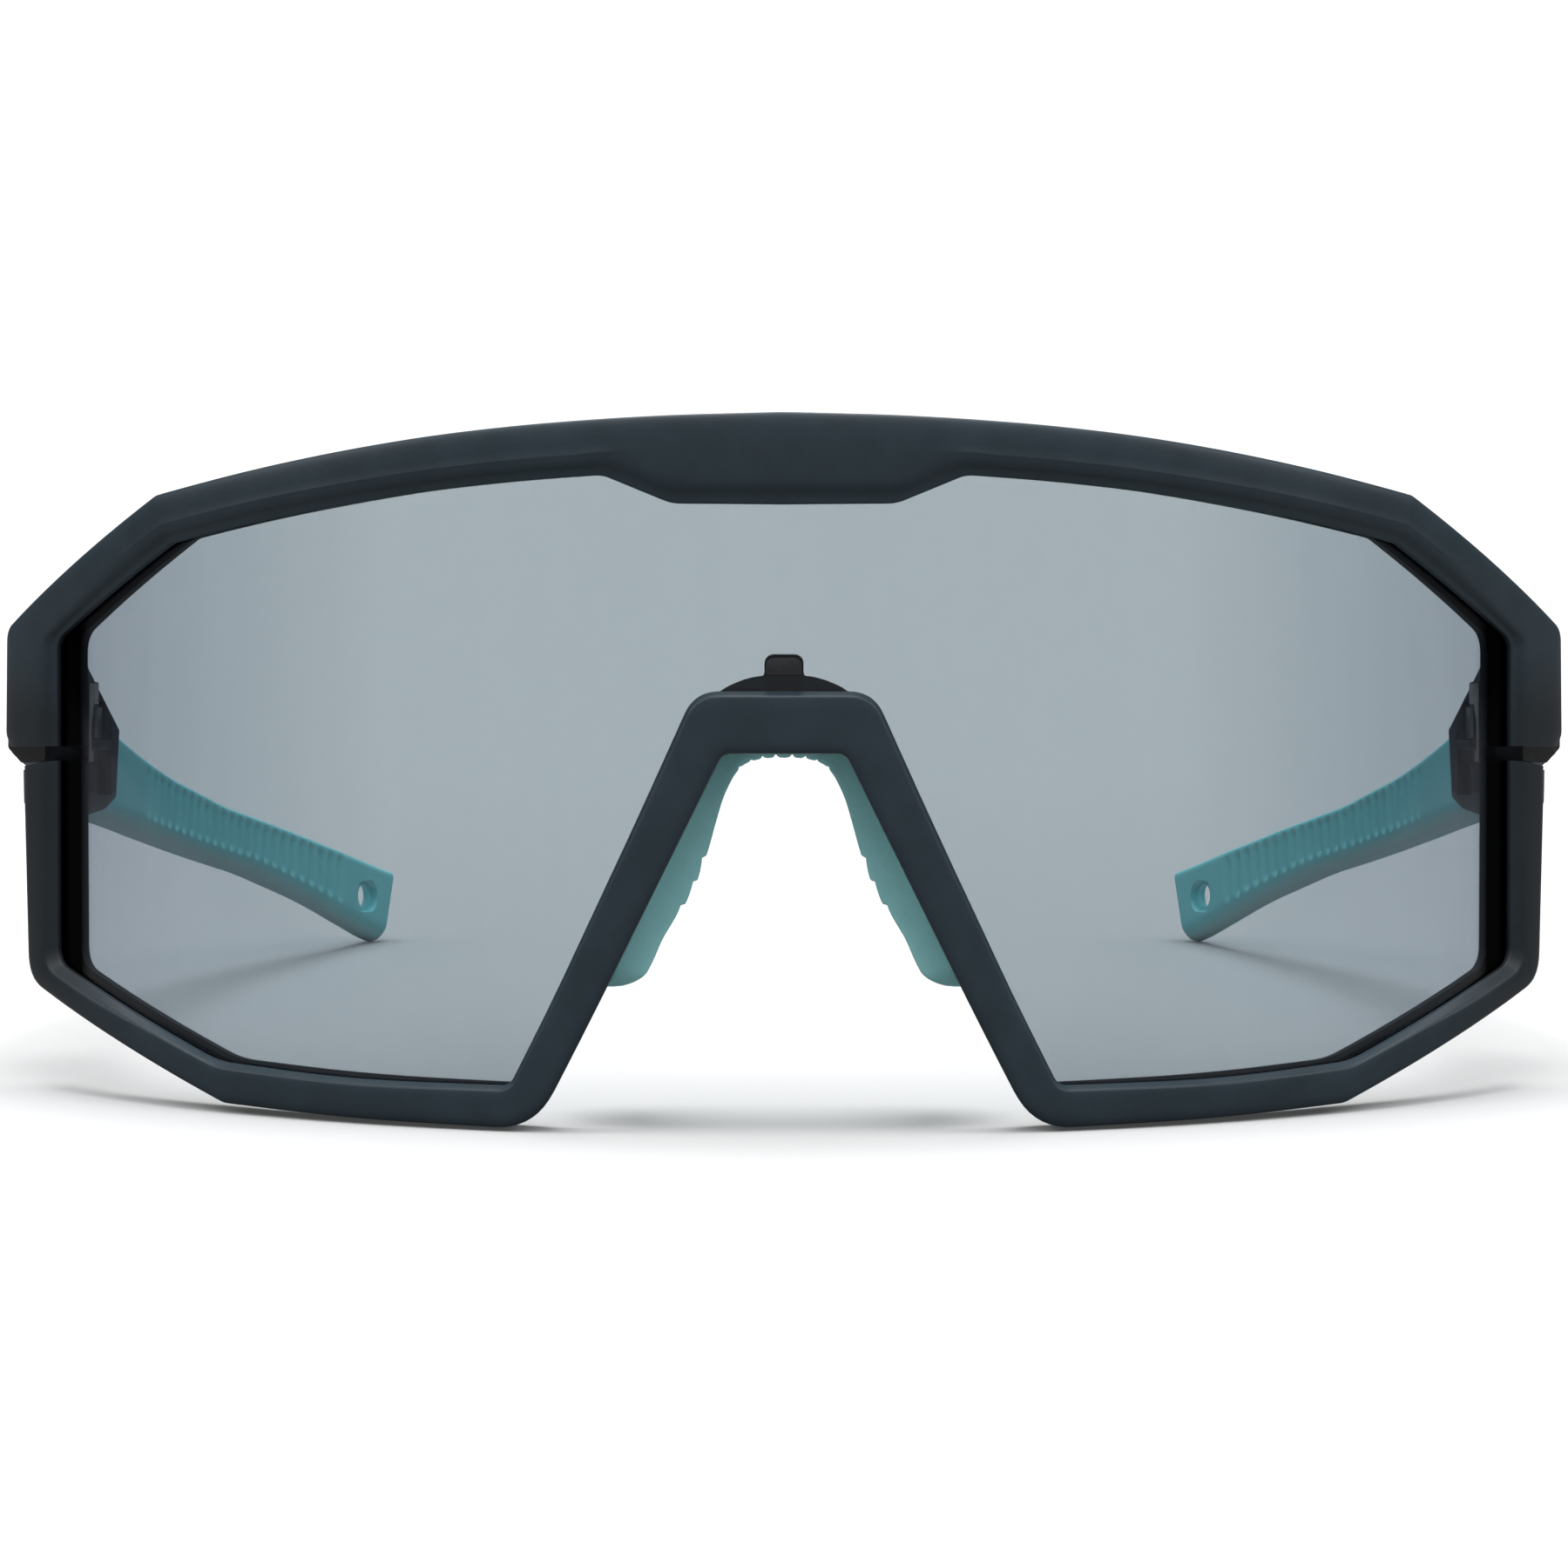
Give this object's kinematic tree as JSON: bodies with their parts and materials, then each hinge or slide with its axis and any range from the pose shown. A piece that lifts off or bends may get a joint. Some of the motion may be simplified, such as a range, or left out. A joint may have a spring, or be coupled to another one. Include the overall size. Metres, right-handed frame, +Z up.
{
  "type": "wraparound sport sunglasses",
  "caption": "Wraparound sport sunglasses: a curved shield lens between a brow frame and a lower rim, a rubber nose piece, and folding temples with ribbed rubber sleeves.",
  "frame": {"origin": "on the resting surface, below the centre of the bounding box", "axes": "+Z up, -Y the way the wearer looks, +X the wearer's left; the glasses stand on the lower rim and both temple tips, leaning back by 4.32 degrees"},
  "size_m": [0.1418, 0.1586, 0.0608],
  "materials": {
    "frame_plastic": "matte, dark slate grey",
    "temple_plastic": "matte, dark slate grey",
    "gloss_black": "glossy black",
    "black_plastic": "satin black",
    "lens": "polished polycarbonate, light smoke tint",
    "mint_rubber": "matte mint green",
    "steel": "plain steel",
    "brass": "plain brass"
  },
  "bodies": {
    "lower_frame": {"lower_frame": "frame_plastic"},
    "lens": {"lens": "lens"},
    "upper_frame": {"upper_frame": "frame_plastic", "hinge_block_left": "gloss_black", "hinge_block_right": "gloss_black", "hinge_screw_left": "steel", "hinge_screw_right": "steel", "hinge_nut_left": "brass", "hinge_nut_right": "brass"},
    "temple_left": {"temple_arm_left": "temple_plastic", "temple_core_left": "steel", "temple_sleeve_left": "mint_rubber"},
    "temple_right": {"temple_arm_right": "temple_plastic", "temple_core_right": "steel", "temple_sleeve_right": "mint_rubber"},
    "nosepiece": {"nose_clip": "black_plastic", "nose_pad": "mint_rubber", "nose_core": "steel"}
  },
  "joints": [
    {"name": "lens_lift", "type": "slide", "parent": "lower_frame", "child": "lens", "axis": [0, 0.0753, 0.9972], "range_m": [0, 0.02]},
    {"name": "upper_frame_lift", "type": "slide", "parent": "lens", "child": "upper_frame", "axis": [0, 0.0753, 0.9972], "range_m": [0, 0.022]},
    {"name": "nose_clip_pull", "type": "slide", "parent": "lens", "child": "nosepiece", "axis": [0, 0.9972, -0.0753], "range_m": [0, 0.008]},
    {"name": "temple_left_fold", "type": "hinge", "parent": "upper_frame", "child": "temple_left", "pos_m": [0.0654, -0.03503, 0.0327], "axis": [0, 0.0753, 0.9972], "range_deg": [0, 86]},
    {"name": "temple_right_fold", "type": "hinge", "parent": "upper_frame", "child": "temple_right", "pos_m": [-0.0654, -0.03503, 0.0327], "axis": [0, -0.0753, -0.9972], "range_deg": [0, 76]}
  ]
}
